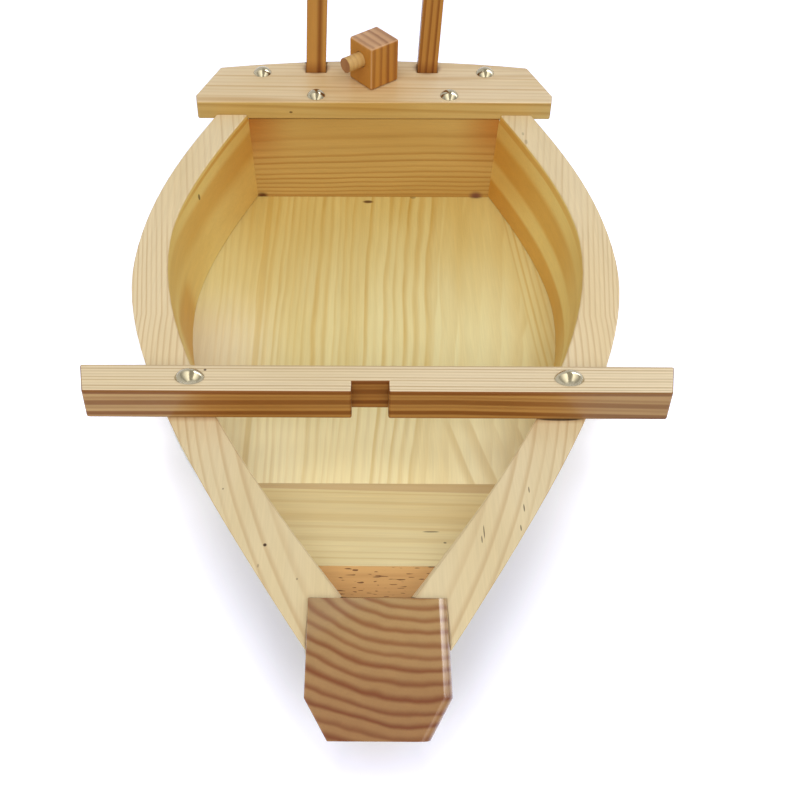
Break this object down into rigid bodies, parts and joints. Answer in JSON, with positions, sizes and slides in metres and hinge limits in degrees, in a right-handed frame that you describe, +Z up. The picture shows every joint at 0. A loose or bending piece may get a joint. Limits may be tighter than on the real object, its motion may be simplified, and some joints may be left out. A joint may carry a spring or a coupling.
{
  "type": "sushi boat",
  "caption": "Wooden boat-shaped sushi tray: flared hull on a flat bottom, raked stem, sloped bow panel, notched cross beam, and a stern deck with a post frame and turning rudder.",
  "frame": {"origin": "on the underside of the bottom board, on the boat's centre line, where the hull rests", "axes": "+Y along the centre line towards the stern, so the bow points to -Y; +X to the right as seen from in front of the bow; +Z up"},
  "size_m": [0.2344, 0.4133, 0.1571],
  "materials": {
    "pine_side": "clear-coated pale pine, satin",
    "pine_bottom": "clear-coated pale pine, satin",
    "pine_honey": "clear-coated honey pine, satin",
    "pine_dark": "clear-coated orange-brown pine, satin",
    "pine_end_grain": "clear-coated pine end grain, glossy",
    "beech": "clear-coated flecked beech, satin",
    "nickel_brass": "polished pale nickel over brass",
    "steel": "plain flat nail heads"
  },
  "bodies": {
    "hull": {"bottom_board": "pine_bottom", "side_left": "pine_side", "side_right": "pine_side", "stem_post": "pine_end_grain", "transom": "pine_honey", "bow_panel": "pine_bottom", "bow_block": "beech", "cross_beam": "pine_side", "stern_deck": "pine_side", "stern_post_left": "pine_dark", "stern_post_right": "pine_dark", "stern_rail": "pine_dark", "beam_nail_left": "nickel_brass", "beam_nail_right": "nickel_brass", "deck_nail_front_left": "nickel_brass", "deck_nail_front_right": "nickel_brass", "deck_nail_rear_left": "nickel_brass", "deck_nail_rear_right": "nickel_brass", "rail_nail_left": "nickel_brass", "rail_nail_right": "nickel_brass", "bottom_nail_left_1": "steel", "bottom_nail_left_2": "steel", "bottom_nail_left_3": "steel", "bottom_nail_left_4": "steel", "bottom_nail_right_1": "steel", "bottom_nail_right_2": "steel", "bottom_nail_right_3": "steel", "bottom_nail_right_4": "steel", "transom_foot_nail_left": "steel", "transom_foot_nail_right": "steel", "stem_foot_nail": "steel", "transom_nail_left_lower": "steel", "transom_nail_left_upper": "steel", "transom_nail_right_lower": "steel", "transom_nail_right_upper": "steel", "stem_nail_left": "steel", "stem_nail_right": "steel"},
    "rudder": {"rudder_head": "pine_dark", "rudder_stock": "pine_dark", "tiller_peg": "pine_honey", "rudder_blade": "pine_honey", "blade_pin_lower": "pine_honey", "blade_pin_upper": "pine_honey"}
  },
  "joints": [
    {"name": "rudder_turn", "type": "hinge", "parent": "hull", "child": "rudder", "pos_m": [0, 0.18408, 0.0633], "axis": [0, 0, 1], "range_deg": [-8.6, 111.4]}
  ]
}
